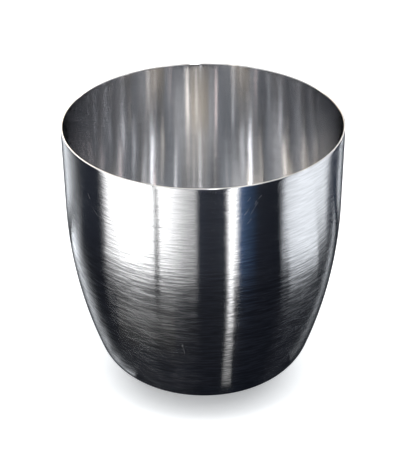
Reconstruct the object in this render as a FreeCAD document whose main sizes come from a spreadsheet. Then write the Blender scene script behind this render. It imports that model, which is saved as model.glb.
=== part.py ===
import FreeCAD, Part
import math
import os

import Sketcher

# A cup drawn in one piece from a flat disc of stainless sheet: a flat round
# base, a rounded corner, a lower wall that swells outwards in one long curve
# and a nearly upright upper wall that ends in a trimmed lip. The outline is
# revolved, hollowed by the thickness of the sheet and rounded at the lip.
#
# Frame: millimetres, +Z up along the axis of the cup, with the origin in the
# middle of the flat base that the cup stands on.

# Driving dimensions: alias, value, what it is. Lengths are in millimetres.
SIZES = [
    ("rim_diameter", 85.0, "outside diameter at the lip"),
    ("cup_height", 82.0, "from the base to the top of the lip"),
    ("base_diameter", 37.0, "flat round that the cup stands on"),
    ("corner_radius", 15.0, "outside radius where the base turns up"),
    ("belly_radius", 140.0, "outside radius of the swelling lower wall"),
    ("wall_lean", 1.6, "outward lean of the straight upper wall, in degrees"),
    ("sheet_thickness", 0.6, "gauge of the drawn sheet"),
    ("lip_rounding", 0.25, "radius on each edge of the trimmed lip"),
]

# Each edge of the lip is rounded by at most this share of the sheet, so that
# a narrow flat stays between the two.
LARGEST_LIP_SHARE = 0.45

# Point numbers on a sketch line or arc.
START = 1
END = 2
# The sketch's own horizontal axis, whose start point is the sketch's origin.
HORIZONTAL_AXIS = -1


def make_sheet(doc):
    """Write the driving dimensions into a spreadsheet named sizes."""
    sheet = doc.addObject("Spreadsheet::Sheet", "sizes")
    for row, (alias, value, meaning) in enumerate(SIZES, start=1):
        sheet.set(f"A{row}", alias)
        sheet.set(f"B{row}", str(value))
        sheet.set(f"C{row}", meaning)
        sheet.setAlias(f"B{row}", alias)
    doc.recompute()
    return sheet


def origin_plane(body, role):
    """The plane of a body's origin that has the given role."""
    for feature in body.Origin.OriginFeatures:
        if feature.Role == role:
            return feature
    raise ValueError(f"{body.Name} has no {role}")


def outline_points(sheet):
    """Where the outline's base, corner, belly and wall meet, and its centres.

    Points are (radius, height) from the middle of the base. The belly lies on
    the large circle that holds the corner's circle, touching it from inside,
    and that the wall's line touches from outside.
    """
    lean = math.radians(sheet.wall_lean)
    up_wall = FreeCAD.Vector(math.sin(lean), math.cos(lean))
    into_cup = FreeCAD.Vector(-math.cos(lean), math.sin(lean))
    lip = FreeCAD.Vector(sheet.rim_diameter / 2, sheet.cup_height)
    corner_centre = FreeCAD.Vector(sheet.base_diameter / 2, sheet.corner_radius)

    # The belly's centre, seen from the corner's centre: its distances across
    # and along the wall, and straight.
    across = sheet.belly_radius + into_cup.dot(lip - corner_centre)
    straight = sheet.belly_radius - sheet.corner_radius
    along = math.sqrt(straight**2 - across**2)
    belly_centre = corner_centre + into_cup * across + up_wall * along

    to_belly_start = (corner_centre - belly_centre).normalize()
    return {
        "base end": FreeCAD.Vector(corner_centre.x, 0),
        "corner centre": corner_centre,
        "corner end": corner_centre + to_belly_start * sheet.corner_radius,
        "belly centre": belly_centre,
        "belly end": belly_centre - into_cup * sheet.belly_radius,
        "lip": lip,
    }


def arc(centre, start, end):
    """The counter-clockwise arc about centre from start to end."""
    upright = FreeCAD.Vector(0, 0, 1)
    circle = Part.Circle(centre, upright, start.distanceToPoint(centre))
    return Part.ArcOfCircle(circle, circle.parameter(start), circle.parameter(end))


def draw_outline(body, sheet):
    """Sketch half of the filled outline of the cup, with the axis as one side."""
    sketch = body.newObject("Sketcher::SketchObject", "outline")
    sketch.AttachmentSupport = (origin_plane(body, "XZ_Plane"), [""])
    sketch.MapMode = "FlatFace"

    at = outline_points(sheet)
    base_middle = FreeCAD.Vector(0, 0)
    mouth_middle = FreeCAD.Vector(0, at["lip"].y)
    base = sketch.addGeometry(Part.LineSegment(base_middle, at["base end"]))
    corner = sketch.addGeometry(arc(at["corner centre"], at["base end"], at["corner end"]))
    belly = sketch.addGeometry(arc(at["belly centre"], at["corner end"], at["belly end"]))
    wall = sketch.addGeometry(Part.LineSegment(at["belly end"], at["lip"]))
    mouth = sketch.addGeometry(Part.LineSegment(at["lip"], mouth_middle))
    axis = sketch.addGeometry(Part.LineSegment(mouth_middle, base_middle))

    def constrain(*terms):
        return sketch.addConstraint(Sketcher.Constraint(*terms))

    constrain("Coincident", base, START, HORIZONTAL_AXIS, START)
    constrain("Tangent", base, END, corner, START)
    constrain("Tangent", corner, END, belly, START)
    constrain("Tangent", belly, END, wall, START)
    constrain("Coincident", wall, END, mouth, START)
    constrain("Coincident", mouth, END, axis, START)
    constrain("Coincident", axis, END, base, START)
    constrain("Horizontal", base)
    constrain("Horizontal", mouth)
    constrain("Vertical", axis)

    def bind(expression, *terms):
        sketch.setExpression(f"Constraints[{constrain(*terms)}]", expression)

    lean = math.radians(sheet.wall_lean)
    bind("sizes.base_diameter / 2", "DistanceX", base, START, base, END, at["base end"].x)
    bind("sizes.rim_diameter / 2", "DistanceX", mouth, END, mouth, START, at["lip"].x)
    bind("sizes.cup_height", "DistanceY", axis, END, axis, START, at["lip"].y)
    bind("sizes.corner_radius", "Radius", corner, sheet.corner_radius)
    bind("sizes.belly_radius", "Radius", belly, sheet.belly_radius)
    bind("sizes.wall_lean * 1 deg", "Angle", wall, END, axis, START, lean)
    return sketch


def revolve(body, outline):
    """Turn the outline about the axis: the cup as if it were solid."""
    filled = body.newObject("PartDesign::Revolution", "filled_cup")
    filled.Profile = outline
    filled.ReferenceAxis = (outline, ["V_Axis"])
    filled.Angle = 360
    return filled


def hollow(body, filled):
    """Open the mouth and leave a wall one sheet thick inside the outline."""
    faces = filled.Shape.Faces
    mouth = max(range(len(faces)), key=lambda index: faces[index].CenterOfMass.z)
    drawn = body.newObject("PartDesign::Thickness", "drawn_sheet")
    drawn.Base = (filled, [f"Face{mouth + 1}"])
    drawn.Reversed = True
    drawn.setExpression("Value", "sizes.sheet_thickness")
    return drawn


def round_lip(body, drawn, sheet):
    """Round the two edges of the narrow flat that trimming leaves."""
    below_lip = sheet.cup_height - sheet.sheet_thickness
    lip_edges = []
    for number, edge in enumerate(drawn.Shape.Edges, start=1):
        if edge.BoundBox.ZMin > below_lip:
            lip_edges.append(f"Edge{number}")
    rounded = body.newObject("PartDesign::Fillet", "rounded_lip")
    rounded.Base = (drawn, lip_edges)
    largest = f"{LARGEST_LIP_SHARE} * sizes.sheet_thickness"
    rounded.setExpression("Radius", f"min(sizes.lip_rounding; {largest})")
    return rounded


def build_cup(doc, sheet):
    """The whole cup as one body, one feature for each step of its form."""
    cup = doc.addObject("PartDesign::Body", "cup")
    cup.Label = "cup"
    cup.Placement = FreeCAD.Placement()
    outline = draw_outline(cup, sheet)
    filled = revolve(cup, outline)
    doc.recompute()
    drawn = hollow(cup, filled)
    doc.recompute()
    cup.Tip = round_lip(cup, drawn, sheet)
    doc.recompute()
    return cup


def check(doc, bodies):
    """Stop, before anything is written, if a feature or a solid failed."""
    for item in doc.Objects:
        if "Invalid" in item.State or "Error" in item.State:
            raise RuntimeError(f"{item.Name} did not build: {item.State}")
    for body in bodies:
        if body.Shape.isNull() or not body.Shape.isValid():
            raise RuntimeError(f"{body.Label} is not a valid solid")


def export(bodies):
    """Write each body to parts/LABEL.step."""
    os.makedirs("parts", exist_ok=True)
    for body in bodies:
        body.Shape.exportStep(f"parts/{body.Label}.step")


doc = FreeCAD.newDocument("drawn_cup")
sheet = make_sheet(doc)
bodies = [build_cup(doc, sheet)]
check(doc, bodies)
export(bodies)
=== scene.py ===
import math

import bpy
from mathutils import Matrix, Vector


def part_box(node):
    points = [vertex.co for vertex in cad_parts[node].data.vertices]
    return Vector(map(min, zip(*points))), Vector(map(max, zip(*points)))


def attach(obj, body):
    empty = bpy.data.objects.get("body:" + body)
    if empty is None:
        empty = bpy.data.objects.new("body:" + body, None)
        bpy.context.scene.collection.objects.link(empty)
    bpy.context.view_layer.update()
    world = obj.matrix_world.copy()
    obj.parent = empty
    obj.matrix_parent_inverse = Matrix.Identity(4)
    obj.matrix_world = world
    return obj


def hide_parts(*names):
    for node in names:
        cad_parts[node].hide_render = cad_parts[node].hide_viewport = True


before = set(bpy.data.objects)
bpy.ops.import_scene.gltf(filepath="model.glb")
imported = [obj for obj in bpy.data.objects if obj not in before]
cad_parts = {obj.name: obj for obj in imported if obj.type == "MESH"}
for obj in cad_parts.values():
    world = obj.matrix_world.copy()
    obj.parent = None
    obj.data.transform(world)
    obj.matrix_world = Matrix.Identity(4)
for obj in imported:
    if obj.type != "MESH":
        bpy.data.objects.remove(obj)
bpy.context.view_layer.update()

# The cup, in metres. Its lip and height come from the frame; the rest of its
# section is the same as the CAD part's.
CUP_LOW, CUP_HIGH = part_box("cup")
HEIGHT = CUP_HIGH.z - CUP_LOW.z
RIM_RADIUS = (CUP_HIGH.x - CUP_LOW.x) / 2
BASE_RADIUS = 0.0185
CORNER_RADIUS = 0.015
BELLY_RADIUS = 0.140
WALL_LEAN = math.radians(1.6)
SHEET = 0.0006
LIP_ROUNDING = 0.00025

# How many steps each stretch of the section is divided into, and the cup's turn.
FLOOR_STEPS = 10
CORNER_STEPS = 28
BELLY_STEPS = 44
WALL_STEPS = 20
LIP_STEPS = 6
SEGMENTS = 360


# ---------------------------------------------------------------- the cup

def arc_points(centre, radius, start, end, count):
    """Points on an arc from angle start to angle end, both ends included."""
    points = []
    for step in range(count + 1):
        angle = start + (end - start) * step / count
        across = centre[0] + radius * math.cos(angle)
        points.append((across, centre[1] + radius * math.sin(angle)))
    return points


def line_points(start, end, count):
    """Points along a straight stretch, both ends included."""
    across, up = end[0] - start[0], end[1] - start[1]
    shares = [step / count for step in range(count + 1)]
    return [(start[0] + across * share, start[1] + up * share) for share in shares]


def section():
    """The cup's closed section as (radius, height), from the outside of the
    base's middle, up and over the lip, down to the inside of the base."""
    into = (-math.cos(WALL_LEAN), math.sin(WALL_LEAN))
    up = (math.sin(WALL_LEAN), math.cos(WALL_LEAN))
    corner = (BASE_RADIUS, CORNER_RADIUS)
    # The belly's centre, seen from the corner's: its distances across the wall
    # and along it, and straight.
    across = BELLY_RADIUS + into[0] * (RIM_RADIUS - corner[0]) + into[1] * (HEIGHT - corner[1])
    straight = BELLY_RADIUS - CORNER_RADIUS
    along = math.sqrt(straight**2 - across**2)
    belly = (corner[0] + into[0] * across + up[0] * along, corner[1] + into[1] * across + up[1] * along)
    turn = math.atan2(corner[1] - belly[1], corner[0] - belly[0])
    wall = -WALL_LEAN

    def side(inset):
        """One side of the sheet, from the base's edge up to the lip."""
        points = arc_points(corner, CORNER_RADIUS - inset, -math.pi / 2, turn, CORNER_STEPS)
        points += arc_points(belly, BELLY_RADIUS - inset, turn, wall, BELLY_STEPS)[1:]
        foot = points[-1]
        rise = (HEIGHT - LIP_ROUNDING - foot[1]) / up[1]
        top = (foot[0] + up[0] * rise, foot[1] + up[1] * rise)
        return points + line_points(foot, top, WALL_STEPS)[1:]

    outside = side(0.0)
    inside = side(SHEET)
    quarter = math.pi / 2
    outer_middle = (outside[-1][0] - LIP_ROUNDING, HEIGHT - LIP_ROUNDING)
    inner_middle = (inside[-1][0] + LIP_ROUNDING, HEIGHT - LIP_ROUNDING)
    outer_edge = arc_points(outer_middle, LIP_ROUNDING, 0, quarter, LIP_STEPS)
    inner_edge = arc_points(inner_middle, LIP_ROUNDING, quarter, math.pi, LIP_STEPS)
    floor_outside = line_points((0.0, 0.0), (BASE_RADIUS, 0.0), FLOOR_STEPS)
    floor_inside = line_points((BASE_RADIUS, SHEET), (0.0, SHEET), FLOOR_STEPS)
    return floor_outside + outside[1:] + outer_edge[1:] + inner_edge + inside[-2::-1] + floor_inside[1:]


def lathe(name, profile):
    """Turn a section that starts and ends on the axis into a closed mesh.

    The UV map holds the turn round the axis in U and the distance along the
    section, in metres, in V."""
    lengths = [0.0]
    for a, b in zip(profile, profile[1:]):
        lengths.append(lengths[-1] + math.dist(a, b))
    rings = profile[1:-1]
    vertices = [(0.0, 0.0, profile[0][1])]
    for radius, height in rings:
        for step in range(SEGMENTS):
            turn = 2 * math.pi * step / SEGMENTS
            vertices.append((radius * math.cos(turn), radius * math.sin(turn), height))
    vertices.append((0.0, 0.0, profile[-1][1]))
    last = len(vertices) - 1

    faces, uvs = [], []
    for step in range(SEGMENTS):
        after = (step + 1) % SEGMENTS
        u, v = step / SEGMENTS, (step + 1) / SEGMENTS
        faces.append((0, 1 + after, 1 + step))
        uvs += [((u + v) / 2, lengths[0]), (v, lengths[1]), (u, lengths[1])]
        for ring in range(len(rings) - 1):
            a, b = 1 + ring * SEGMENTS, 1 + (ring + 1) * SEGMENTS
            low, high = lengths[ring + 1], lengths[ring + 2]
            faces.append((a + step, a + after, b + after, b + step))
            uvs += [(u, low), (v, low), (v, high), (u, high)]
        a = 1 + (len(rings) - 1) * SEGMENTS
        faces.append((a + step, a + after, last))
        uvs += [(u, lengths[-2]), (v, lengths[-2]), ((u + v) / 2, lengths[-1])]

    mesh = bpy.data.meshes.new(name)
    mesh.from_pydata(vertices, [], faces)
    layer = mesh.uv_layers.new(name="UVMap")
    for loop, uv in zip(layer.data, uvs):
        loop.uv = uv
    mesh.shade_smooth()
    mesh.update()
    piece = bpy.data.objects.new(name, mesh)
    bpy.context.scene.collection.objects.link(piece)
    return piece


# ---------------------------------------------------------------- materials

WHITE = (1.0, 1.0, 1.0)
# The steel's colour in the hairlines and between them.
STEEL_DARK = (0.50, 0.505, 0.515)
STEEL_LIGHT = (0.88, 0.88, 0.89)
# Its roughness, how far that varies from patch to patch, and the noise levels
# at which it is least and most.
ROUGH_OUTSIDE = 0.165
ROUGH_INSIDE = 0.082
ROUGH_SWING = 0.02
PATCH_LEVELS = (0.3, 0.7)
# The depth of the hairlines, in metres.
GRAIN_OUTSIDE = 0.000021
GRAIN_INSIDE = 0.000003
# How much the coarse hairlines count beside the fine ones in the bump.
COARSE_SHARE = 2.0
# How strongly the hairlines lighten and darken the steel: more low on the wall,
# at the first distance along the section, than high up, at the second.
BITE_REACH = (0.066, 0.088)
BITE = (3.8, 0.7)
BITE_INSIDE = 0.4
# How wide a scratch is to each side of its middle, how much rougher it is, and
# between which shares of its length, from its middle, it fades.
SCRATCH_WIDTH = 0.00015
SCRATCH_SPREAD = 0.15
SCRATCH_FADE = (0.2, 0.5)
# The stray scratches: bearing in degrees, depth below the lip and length in
# metres, and tilt in degrees.
SCRATCHES = [
    (-9.6, 0.0565, 0.0065, 101.0),
    (20.0, 0.0077, 0.0080, 58.0),
    (17.0, 0.0085, 0.0045, 54.0),
    (20.5, 0.0060, 0.0030, 66.0),
    (22.3, 0.0044, 0.0028, 45.0),
    (17.8, 0.0046, 0.0026, 52.0),
    (18.0, 0.0118, 0.0032, 48.0),
    (-52.0, 0.0110, 0.0032, -55.0),
    (-48.5, 0.0150, 0.0028, -42.0),
    (96.0, 0.0300, 0.0070, 50.0),
    (140.0, 0.0450, 0.0060, -55.0),
    (205.0, 0.0220, 0.0080, 42.0),
    (262.0, 0.0380, 0.0060, -47.0),
]


def add(tree, kind, **inputs):
    """A new node whose inputs, by name or as i0, i1 and so on, are set or
    linked."""
    node = tree.nodes.new(kind)
    for key, value in inputs.items():
        numbered = key[0] == "i" and key[1:].isdigit()
        socket = node.inputs[int(key[1:]) if numbered else key]
        if isinstance(value, bpy.types.NodeSocket):
            tree.links.new(value, socket)
        else:
            socket.default_value = value
    return node


def maths(tree, operation, a, b=0.0, c=0.0):
    """The output of a Math node."""
    node = add(tree, "ShaderNodeMath", i0=a, i1=b, i2=c)
    node.operation = operation
    return node.outputs[0]


def spread_range(tree, value, low, high, out_low, out_high):
    """A value mapped from one range to another and kept inside it."""
    return add(tree, "ShaderNodeMapRange", i0=value, i1=low, i2=high, i3=out_low, i4=out_high).outputs[0]


def brushed_steel(lip_length):
    """Bright steel sheet, brushed round the cup by the polishing wheel, more
    finely inside. lip_length is how far along the section the lip is."""
    material = bpy.data.materials.new("brushed_sheet")
    material.use_nodes = True
    tree = material.node_tree
    tree.nodes.clear()

    place = tree.nodes.new("ShaderNodeTexCoord")
    split = add(tree, "ShaderNodeSeparateXYZ", Vector=place.outputs["UV"])
    flat = add(tree, "ShaderNodeVectorMath", i0=place.outputs["Object"], i1=(1.0, 1.0, 0.0))
    flat.operation = "MULTIPLY"
    outward = add(tree, "ShaderNodeVectorMath", i0=flat.outputs[0])
    outward.operation = "NORMALIZE"
    bearing = add(tree, "ShaderNodeSeparateXYZ", Vector=outward.outputs[0])

    def strokes(across, around, slant, turns, offset):
        """Hairlines that run round the cup: across is how many there are to
        the metre up the section, around how many to the radian, and slant how
        far they wander up and down, turns times in one round of the cup.
        offset shifts the pattern."""
        angle = maths(tree, "MULTIPLY", split.outputs["X"], 2 * math.pi * turns)
        wave = maths(tree, "SINE", maths(tree, "ADD", angle, offset))
        wave = maths(tree, "MULTIPLY", wave, slant)
        along = maths(tree, "MULTIPLY", maths(tree, "ADD", split.outputs["Y"], wave), across)
        vector = add(
            tree,
            "ShaderNodeCombineXYZ",
            X=maths(tree, "MULTIPLY_ADD", bearing.outputs["X"], around, offset),
            Y=maths(tree, "MULTIPLY", bearing.outputs["Y"], around),
            Z=along,
        )
        noise = add(tree, "ShaderNodeTexNoise", Vector=vector.outputs[0], Scale=1.0, Detail=2.0)
        return noise.outputs["Fac"]

    def scratch(bearing_at, depth, length, tilt):
        """One stray scratch on the outside of the wall, 1 on it and 0 beside
        it, with ends that fade."""
        turn = (270 + bearing_at) / 360
        round_wall = maths(tree, "SUBTRACT", split.outputs["X"], turn)
        round_wall = maths(tree, "MULTIPLY", round_wall, 2 * math.pi * RIM_RADIUS)
        up_wall = maths(tree, "SUBTRACT", split.outputs["Y"], lip_length - depth)
        on_wall = add(tree, "ShaderNodeCombineXYZ", X=round_wall, Y=up_wall).outputs[0]
        lean = math.radians(tilt)
        direction = (math.cos(lean), math.sin(lean), 0.0)
        beside = (-math.sin(lean), math.cos(lean), 0.0)
        ahead = add(tree, "ShaderNodeVectorMath", i0=on_wall, i1=direction)
        ahead.operation = "DOT_PRODUCT"
        aside = add(tree, "ShaderNodeVectorMath", i0=on_wall, i1=beside)
        aside.operation = "DOT_PRODUCT"
        far = maths(tree, "ABSOLUTE", ahead.outputs["Value"])
        off = maths(tree, "ABSOLUTE", aside.outputs["Value"])
        fade_start, fade_end = SCRATCH_FADE
        ends = spread_range(tree, far, length * fade_start, length * fade_end, 1.0, 0.0)
        return maths(tree, "MULTIPLY", ends, spread_range(tree, off, 0.0, SCRATCH_WIDTH, 1.0, 0.0))

    fine = strokes(across=4200, around=9.0, slant=0.0002, turns=5, offset=0.0)
    coarse = strokes(across=1700, around=6.0, slant=0.0003, turns=4, offset=2.1)
    broad = strokes(across=320, around=2.5, slant=0.0006, turns=3, offset=4.4)

    stray = scratch(*SCRATCHES[0])
    for marks in SCRATCHES[1:]:
        stray = maths(tree, "MAXIMUM", stray, scratch(*marks))

    height = maths(tree, "MULTIPLY_ADD", coarse, COARSE_SHARE, fine)
    inside = maths(tree, "GREATER_THAN", split.outputs["Y"], lip_length)
    grain_depth = maths(tree, "MULTIPLY_ADD", inside, GRAIN_INSIDE - GRAIN_OUTSIDE, GRAIN_OUTSIDE)
    bump = add(tree, "ShaderNodeBump", Strength=1.0, Distance=grain_depth, Height=height)

    mixed = maths(tree, "MULTIPLY", maths(tree, "ADD", broad, coarse), 0.5)
    swing = spread_range(tree, mixed, *PATCH_LEVELS, -ROUGH_SWING, ROUGH_SWING)
    rough = maths(tree, "MULTIPLY_ADD", inside, ROUGH_INSIDE - ROUGH_OUTSIDE, ROUGH_OUTSIDE)
    rough = maths(tree, "ADD", rough, swing)
    rough = maths(tree, "MULTIPLY_ADD", stray, SCRATCH_SPREAD, rough)

    # The two sizes of hairline, about 0, are multiplied by the bite and put
    # about the middle of the range between the dark steel and the light.
    grain = maths(tree, "SUBTRACT", maths(tree, "ADD", fine, coarse), 1.0)
    bite = spread_range(tree, split.outputs["Y"], *BITE_REACH, *BITE)
    less_inside = maths(tree, "MULTIPLY_ADD", inside, BITE_INSIDE - 1.0, 1.0)
    bite = maths(tree, "MULTIPLY", bite, less_inside)
    grain = maths(tree, "MULTIPLY_ADD", grain, bite, 0.5)
    grain = spread_range(tree, grain, 0.0, 1.0, 0.0, 1.0)
    tone = add(tree, "ShaderNodeMix", i0=grain, i6=(*STEEL_DARK, 1.0), i7=(*STEEL_LIGHT, 1.0))
    tone.data_type = "RGBA"

    tangent = tree.nodes.new("ShaderNodeTangent")
    tangent.direction_type = "RADIAL"
    tangent.axis = "Z"

    shader = tree.nodes.new("ShaderNodeBsdfPrincipled")
    shader.inputs["Metallic"].default_value = 1.0
    shader.inputs["Anisotropic"].default_value = 1.0
    shader.inputs["Anisotropic Rotation"].default_value = 0.25
    tree.links.new(tone.outputs[2], shader.inputs["Base Color"])
    tree.links.new(rough, shader.inputs["Roughness"])
    tree.links.new(bump.outputs[0], shader.inputs["Normal"])
    tree.links.new(tangent.outputs[0], shader.inputs["Tangent"])
    out = tree.nodes.new("ShaderNodeOutputMaterial")
    tree.links.new(shader.outputs[0], out.inputs["Surface"])
    return material


def length_to_lip(profile):
    """How far along the section its highest point is first reached."""
    heights = [height for radius, height in profile]
    lip = heights.index(max(heights))
    return sum(math.dist(a, b) for a, b in zip(profile[:lip], profile[1:lip + 1]))


profile = section()
cup = lathe("cup_wall", profile)
cup.data.materials.append(brushed_steel(length_to_lip(profile)))
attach(cup, "root")
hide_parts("cup")


# ---------------------------------------------------------------- the studio

def ramp_of(tree, value, levels):
    """A value from 0 to 1 turned into the levels given, spaced evenly."""
    ramp = add(tree, "ShaderNodeValToRGB", Fac=value)
    stops = ramp.color_ramp.elements
    while len(stops) < len(levels):
        stops.new(0.5)
    peak = max(levels)
    for index, level in enumerate(levels):
        stops[index].position = index / (len(levels) - 1)
        stops[index].color = (level / peak, level / peak, level / peak, 1.0)
    return maths(tree, "MULTIPLY", ramp.outputs["Color"], peak)


def light_material(name, levels, tint=WHITE, rise=(1.0, 1.0)):
    """A card that glows with the levels given from side to side, each times
    the rise from its near edge to its far one."""
    material = bpy.data.materials.new(name)
    material.use_nodes = True
    tree = material.node_tree
    tree.nodes.clear()
    place = tree.nodes.new("ShaderNodeTexCoord")
    split = add(tree, "ShaderNodeSeparateXYZ", Vector=place.outputs["UV"])
    aside = ramp_of(tree, split.outputs["X"], levels)
    strength = maths(tree, "MULTIPLY", aside, ramp_of(tree, split.outputs["Y"], rise))
    glow = add(tree, "ShaderNodeEmission", Color=(*tint, 1.0), Strength=strength)
    out = tree.nodes.new("ShaderNodeOutputMaterial")
    tree.links.new(glow.outputs[0], out.inputs["Surface"])
    return material


def card_of(name, vertices, faces, uvs, material):
    """A card from its mesh, which is part of the studio and not of the cup."""
    mesh = bpy.data.meshes.new(name)
    mesh.from_pydata(vertices, [], faces)
    layer = mesh.uv_layers.new(name="UVMap")
    for loop, uv in zip(layer.data, uvs):
        loop.uv = uv
    mesh.materials.append(material)
    card = bpy.data.objects.new(name, mesh)
    bpy.context.scene.collection.objects.link(card)
    return card


def ring_card(name, start, end, inner, outer, material):
    """A card bent round the cup's axis between two bearings, in degrees,
    counted from the camera's side and positive to its right. It runs from
    the inner to the outer (radius, height): upright, or flat on the table."""
    steps = max(2, int(abs(end - start) / CARD_STEP))
    vertices, faces, uvs = [], [], []
    for step in range(steps + 1):
        bearing = math.radians(start + (end - start) * step / steps)
        for radius, height in (inner, outer):
            vertices.append((radius * math.sin(bearing), -radius * math.cos(bearing), height))
    for step in range(steps):
        k = 2 * step
        faces.append((k, k + 2, k + 3, k + 1))
        u, v = step / steps, (step + 1) / steps
        uvs += [(u, 0.0), (v, 0.0), (v, 1.0), (u, 1.0)]
    return card_of(name, vertices, faces, uvs, material)


def strip_card(name, one_side, other_side, material):
    """A card flat on the table between two lines of (x, y) points, given in
    millimetres from the cup outwards."""
    vertices, faces, uvs = [], [], []
    for pair in zip(one_side, other_side):
        for x, y in pair:
            vertices.append((x / 1000, y / 1000, TABLE_TOP))
    last = len(one_side) - 1
    for step in range(last):
        k = 2 * step
        faces.append((k, k + 1, k + 3, k + 2))
        v, w = step / last, (step + 1) / last
        uvs += [(0.0, v), (1.0, v), (1.0, w), (0.0, w)]
    return card_of(name, vertices, faces, uvs, material)


def for_the_metal_only(card):
    """Only the metal sees the card: the camera and the floor look past it."""
    card.visible_camera = False
    card.visible_diffuse = False
    card.visible_shadow = False


def seen_directly(tree):
    """1 for the rays that should see the white background, else 0."""
    path = tree.nodes.new("ShaderNodeLightPath")
    seen = maths(tree, "MAXIMUM", path.outputs["Is Camera Ray"], path.outputs["Is Glossy Ray"])
    return maths(tree, "MAXIMUM", seen, path.outputs["Is Transmission Ray"])


def floor_material():
    """White paper with a painted shadow. Its own glow is less close to the cup, in two
    pools, which paints most of the soft shadow there. The matt paper takes the
    real shadow from the lamp."""
    material = bpy.data.materials.new("studio_floor")
    material.use_nodes = True
    tree = material.node_tree
    tree.nodes.clear()
    place = tree.nodes.new("ShaderNodeTexCoord")

    def painted_shadow_pool(middle, reach, levels):
        """The glow round a point on the floor, from its middle outwards, lowest in the middle: a pool of
        painted shadow.
        """
        away = add(tree, "ShaderNodeVectorMath", i0=place.outputs["Object"], i1=middle)
        away.operation = "DISTANCE"
        level = spread_range(tree, away.outputs["Value"], *reach, *levels)
        level.node.interpolation_type = "SMOOTHSTEP"
        return level

    # The floor's glow is the lower of the two pools: a shadow painted round the cup.
    level = maths(tree, "MINIMUM", painted_shadow_pool(*FRONT_PAINTED_SHADOW), painted_shadow_pool(*BASE_PAINTED_SHADOW))
    matt = add(tree, "ShaderNodeBsdfDiffuse", Color=(*PAPER_MATT, 1.0))
    strength = maths(tree, "MULTIPLY", seen_directly(tree), level)
    glow = add(tree, "ShaderNodeEmission", Color=(*PAPER_GLOW, 1.0), Strength=strength)
    both = tree.nodes.new("ShaderNodeAddShader")
    tree.links.new(matt.outputs[0], both.inputs[0])
    tree.links.new(glow.outputs[0], both.inputs[1])
    out = tree.nodes.new("ShaderNodeOutputMaterial")
    tree.links.new(both.outputs[0], out.inputs["Surface"])
    return material


def make_world():
    """White for what looks at it directly, and a soft light for the rest."""
    world = bpy.data.worlds.new("studio")
    bpy.context.scene.world = world
    world.use_nodes = True
    tree = world.node_tree
    tree.nodes.clear()
    level = maths(tree, "MULTIPLY_ADD", seen_directly(tree), 1.0 - WORLD_LEVEL, WORLD_LEVEL)
    back = add(tree, "ShaderNodeBackground", Color=(1.0, 1.0, 1.0, 1.0), Strength=level)
    out = tree.nodes.new("ShaderNodeOutputWorld")
    tree.links.new(back.outputs[0], out.inputs["Surface"])


def overhead_lamp():
    """A soft lamp above and a little to the front, for the floor's sake."""
    data = bpy.data.lights.new("overhead", "AREA")
    data.shape = "DISK"
    data.size = LAMP_WIDTH
    data.energy = LAMP_WATTS
    lamp = bpy.data.objects.new("overhead", data)
    bpy.context.scene.collection.objects.link(lamp)
    lamp.location = LAMP_PLACE
    lamp.visible_glossy = False


WORLD_LEVEL = 0.3
LAMP_WATTS = 6.0
LAMP_WIDTH = 0.35
LAMP_PLACE = (0.0, -0.08, 1.2)
FLOOR_RADIUS = 4.0
# The two pools of painted shadow in the floor's glow, before the cup and right
# # round its base: where the middle is, the two radii, and the floor's glow at each.
FRONT_PAINTED_SHADOW = ((-0.0012, -0.0085, 0.0), (0.0165, 0.037), (0.39, 0.92))
BASE_PAINTED_SHADOW = ((0.0, 0.0, 0.0), (0.0185, 0.030), (0.45, 0.92))
PAPER_MATT = (0.82, 0.82, 0.82)
# The glow is a little cool, which tints the painted shadow.
PAPER_GLOW = (0.975, 1.0, 1.02)
# About how many degrees each flat of a bent card takes up.
CARD_STEP = 2

make_world()
overhead_lamp()
ring_card("floor", 0.0, 360.0, (0.0, 0.0), (FLOOR_RADIUS, 0.0), floor_material())

# The cards stand close round the cup. The outside of the wall sees their lower
# part, up to SPLIT, and the inside of the cup sees what is above it. Each has
# its two bearings, the levels at which it glows from one to the other, and a
# tint.
DRUM = 0.125
SPLIT = 0.11
DRUM_TOP = 0.42
# The beige card and the narrow lights stand a little in front of the others.
BEIGE_RADIUS = DRUM * 0.995
NARROW_RADIUS = DRUM * 0.99
BEIGE_HEIGHTS = (0.112, 0.180)
TABLE = 0.0001
TABLE_TOP = TABLE * 2
TABLE_HOLE = BASE_RADIUS * 1.02
COOL = (0.96, 1.0, 1.05)
NAVY = (0.70, 0.84, 1.25)
WARM = (1.08, 1.0, 0.89)
BEIGE = (1.13, 1.0, 0.82)
LOWER_CARDS = [
    ("back_left", -137.0, -104.0, (1.35, 0.8, 0.32, 0.05), COOL),
    ("dark_left", -104.0, -75.0, (0.030, 0.025), NAVY),
    ("panel_left", -75.0, -33.6, (1.25, 2.7, 3.3, 2.3), WHITE),
    ("seam", -33.6, -30.8, (0.015, 0.015), WHITE),
    ("panel_front", -30.8, -4.4, (2.4, 1.8, 1.0, 0.60), WHITE),
    ("dark_front", -4.4, 15.8, (0.042, 0.024, 0.040), NAVY),
    ("strip_front", 15.8, 23.2, (1.3, 2.5, 1.6), WHITE),
    ("blue_right", 23.2, 36.0, (0.22, 0.09, 0.035), (0.45, 0.82, 1.6)),
    ("dark_right", 36.0, 56.4, (0.022, 0.016), NAVY),
    ("panel_right", 56.4, 105.0, (0.90, 1.27, 1.20, 1.10), COOL),
    ("beside_line", 105.0, 128.5, (0.05, 0.05), NAVY),
    ("line_right", 128.5, 134.0, (1.35, 1.35), COOL),
    ("dark_back", 134.0, 223.0, (0.035, 0.035), NAVY),
]
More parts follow.
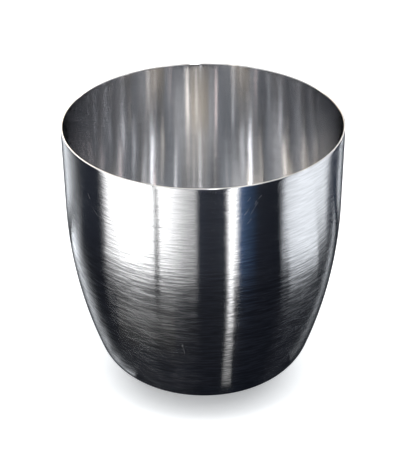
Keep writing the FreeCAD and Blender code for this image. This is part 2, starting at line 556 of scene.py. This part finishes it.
UPPER_CARDS = [
    ("high_back", 135.0, 222.0, (1.0, 1.35, 1.5, 1.5, 1.6, 1.3), WHITE),
    ("high_left", 222.0, 285.0, (1.2, 1.4, 1.3, 1.4, 0.9), WHITE),
    ("high_dim", 285.0, 350.0, (0.72, 0.78, 0.55, 0.28, 0.30, 0.60), COOL),
    ("high_front", 350.0, 420.0, (0.65, 0.6, 0.6, 0.5, 0.5), WHITE),
    ("high_right", 420.0, 495.0, (0.65, 0.55, 0.6, 0.9), COOL),
]
EVEN = (1.0, 1.0)
# Narrow lights in front of the upper cards: their two bearings, the heights of
# foot and head, levels from side to side, rise from foot to head, and tint.
NARROW_LIGHTS = [
    ("lamp_warm", 226.0, 240.0, 0.112, 0.172, (3.0, 7.0, 3.0), (1.0, 0.95, 0.5, 1.0), WARM),
    ("lamp_back", 199.0, 205.0, 0.112, 0.165, (3.8, 3.8), EVEN, WARM),
    ("lamp_pink", 132.5, 137.0, 0.112, 0.165, (5.0, 5.0), EVEN, (1.15, 0.95, 0.88)),
    ("lamp_front", 3.0, 13.5, 0.158, 0.300, (7.0, 12.0, 9.0, 5.0), EVEN, WHITE),
    ("lamp_under", 7.0, 12.5, 0.135, 0.158, (3.0, 5.0, 3.0), (0.6, 1.0), WHITE),
    ("lamp_step", -24.0, 3.0, 0.152, 0.300, (1.0, 1.0, 1.0), EVEN, WHITE),
    ("lamp_tall", 28.0, 47.0, 0.158, 0.300, (2.2, 2.8, 2.0), EVEN, WHITE),
    ("lamp_left", -36.0, -29.5, 0.150, 0.300, (3.0, 3.6, 3.0), EVEN, WARM),
    ("lamp_low", 72.0, 80.0, 0.130, 0.148, (2.6, 4.8, 2.4), EVEN, WHITE),
    ("lamp_line", 23.0, 27.0, 0.112, 0.142, (1.3, 1.3), EVEN, WHITE),
    ("lamp_small", -67.0, -61.0, 0.112, 0.145, (1.1, 1.1), EVEN, WHITE),
]

for name, start, end, levels, tint in LOWER_CARDS:
    glowing = light_material(name, levels, tint)
    for_the_metal_only(ring_card(name, start, end, (DRUM, 0.0), (DRUM, SPLIT), glowing))
for name, start, end, levels, tint in UPPER_CARDS:
    glowing = light_material(name, levels, tint)
    for_the_metal_only(ring_card(name, start, end, (DRUM, SPLIT), (DRUM, DRUM_TOP), glowing))
for name, start, end, foot, head, levels, rise, tint in NARROW_LIGHTS:
    glowing = light_material(name, levels, tint, rise)
    near, far = (NARROW_RADIUS, foot), (NARROW_RADIUS, head)
    for_the_metal_only(ring_card(name, start, end, near, far, glowing))
beige = light_material("beige_back", (0.9, 1.35, 1.6, 1.7, 1.9), BEIGE)
near, far = [(BEIGE_RADIUS, height) for height in BEIGE_HEIGHTS]
for_the_metal_only(ring_card("beige_back", 160.0, 222.0, near, far, beige))
lid = light_material("lid", (0.6, 0.6))
for_the_metal_only(ring_card("lid", 0.0, 360.0, (0.0, DRUM_TOP), (DRUM, DRUM_TOP), lid))

# The table is dark to the metal, but for a faint shine in front of the left
# panel, the foot of the right one, and three strips that carry the narrow
# lights down to the base.
table = light_material("table_dark", (0.012, 0.012), NAVY)
for_the_metal_only(ring_card("table_dark", 0.0, 360.0, (TABLE_HOLE, TABLE), (DRUM, TABLE), table))
shine_levels = (0.08, 0.12, 0.12, 0.10, 0.05)
shine = light_material("table_shine", shine_levels, WHITE, (0.0, 0.6, 1.0, 1.0, 0.5))
near, far = (0.052, TABLE_TOP), (0.086, TABLE_TOP)
for_the_metal_only(ring_card("table_shine", -66.0, -20.0, near, far, shine))
panel_foot = light_material("table_foot", (0.8, 1.0, 0.9), COOL, (0.1, 1.1, 1.4))
near, far = (0.094, TABLE_TOP), (DRUM, TABLE_TOP)
for_the_metal_only(ring_card("table_foot", 64.0, 95.0, near, far, panel_foot))
# Each strip has its two sides, as (x, y) in millimetres from the cup outwards,
# the levels from one side to the other, the rise along it, and a tint.
TABLE_STRIPS = [
    (
        "strip_front_foot",
        [(10.4, -33.3), (44.3, -116.7)],
        [(6.6, -34.7), (37.7, -119.3)],
        (0.8, 1.0, 0.8),
        (0.2, 0.35, 1.2, 1.8, 1.9),
        WHITE,
    ),
    (
        "line_left_foot",
        [
            (-24.8, -17.6), (-30.3, -12.0), (-35.8, -3.0), (-46.5, 11.5),
            (-58.5, 26.5), (-68.5, 46.5), (-80.0, 69.0),
        ],
        [
            (-25.2, -22.5), (-31.0, -18.5), (-38.2, -13.5), (-53.0, -5.0),
            (-71.0, 3.0), (-91.0, 18.0), (-113.0, 36.0),
        ],
        (1.05, 1.0, 0.4, 0.18, 0.01),
        (0.85, 0.6, 0.5, 0.65, 0.8, 1.0, 2.6),
        COOL,
    ),
    (
        "line_right_foot",
        [(32.8, -12.1), (96.5, 70.8)],
        [(35.2, -13.9), (103.5, 65.2)],
        (1.0, 1.0),
        (0.1, 0.5, 0.9, 1.1),
        COOL,
    ),
]
for name, one_side, other_side, levels, rise, tint in TABLE_STRIPS:
    glowing = light_material(name, levels, tint, rise)
    for_the_metal_only(strip_card(name, one_side, other_side, glowing))


# ---------------------------------------------------------------- the camera

CAMERA_DISTANCE = 0.68
CAMERA_ELEVATION = math.radians(29.31)
CAMERA_PITCH = math.radians(28.87)
CAMERA_YAW = math.radians(-0.11)
CAMERA_ROLL = math.radians(-0.45)
CAMERA_LENS = 176.7
CAMERA_SENSOR = 36.0


def make_camera():
    """The camera stands before the cup and looks down on it. Its elevation is
    where it stands, and its pitch, yaw and roll are how it is turned."""
    data = bpy.data.cameras.new("camera")
    camera = bpy.data.objects.new("camera", data)
    bpy.context.scene.collection.objects.link(camera)
    data.lens = CAMERA_LENS
    data.sensor_width = CAMERA_SENSOR
    forward = Vector((
        math.sin(CAMERA_YAW) * math.cos(CAMERA_PITCH),
        math.cos(CAMERA_YAW) * math.cos(CAMERA_PITCH),
        -math.sin(CAMERA_PITCH),
    ))
    level_right = forward.cross(Vector((0, 0, 1))).normalized()
    level_up = level_right.cross(forward)
    right = level_right * math.cos(CAMERA_ROLL) + level_up * math.sin(CAMERA_ROLL)
    up = level_up * math.cos(CAMERA_ROLL) - level_right * math.sin(CAMERA_ROLL)
    turn = Matrix((right, up, -forward)).transposed().to_4x4()
    back = CAMERA_DISTANCE * math.cos(CAMERA_ELEVATION)
    above = HEIGHT / 2 + CAMERA_DISTANCE * math.sin(CAMERA_ELEVATION)
    camera.matrix_world = Matrix.Translation((0, -back, above)) @ turn
    bpy.context.scene.camera = camera


make_camera()
bpy.context.scene.view_settings.view_transform = "Standard"
# Light crosses the inside of the cup many times before it leaves.
bpy.context.scene.cycles.max_bounces = 16
bpy.context.scene.cycles.glossy_bounces = 14
